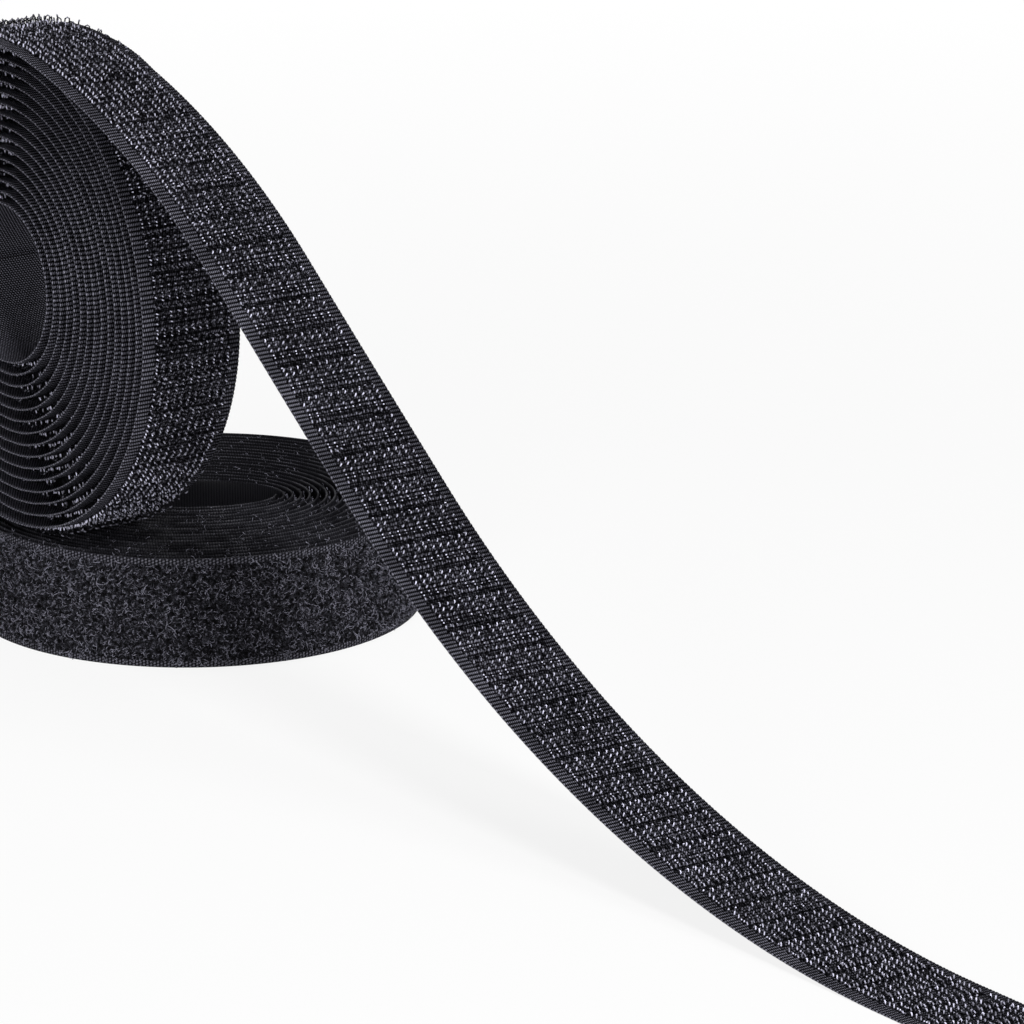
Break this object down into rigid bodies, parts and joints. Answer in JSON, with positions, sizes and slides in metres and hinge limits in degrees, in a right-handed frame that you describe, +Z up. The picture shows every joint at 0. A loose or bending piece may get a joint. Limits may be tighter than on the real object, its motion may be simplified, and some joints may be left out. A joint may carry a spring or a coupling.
{
  "type": "hook and loop tape roll",
  "caption": "Roll of woven loop tape lying flat, with a roll of woven hook tape standing on it, its free end drawn off over the top and down to the surface.",
  "frame": {"origin": "middle of the whole part's footprint, on the surface that it stands on", "axes": "+X is the way the hook tape's free end is drawn off, +Y lies along the hook roll's axis, +Z is up"},
  "size_m": [0.3816, 0.1038, 0.1377],
  "materials": {
    "loop_tape": "matte brushed pile, black",
    "hook_tape": "woven nylon with a slight sheen, black"
  },
  "bodies": {
    "loop_roll": {"loop_tape_winding": "loop_tape"},
    "hook_roll": {"hook_tape_winding": "hook_tape"},
    "free_end": {"hook_tape_free_end": "hook_tape"}
  },
  "joints": [
    {"name": "hook_roll_lift", "type": "slide", "parent": "loop_roll", "child": "hook_roll", "axis": [0, 0, 1], "range_m": [0, 0.06]},
    {"name": "free_end_lift", "type": "hinge", "parent": "hook_roll", "child": "free_end", "pos_m": [-0.13444, -0.03936, 0.13766], "axis": [0, -1, 0], "range_deg": [0, 30]}
  ]
}
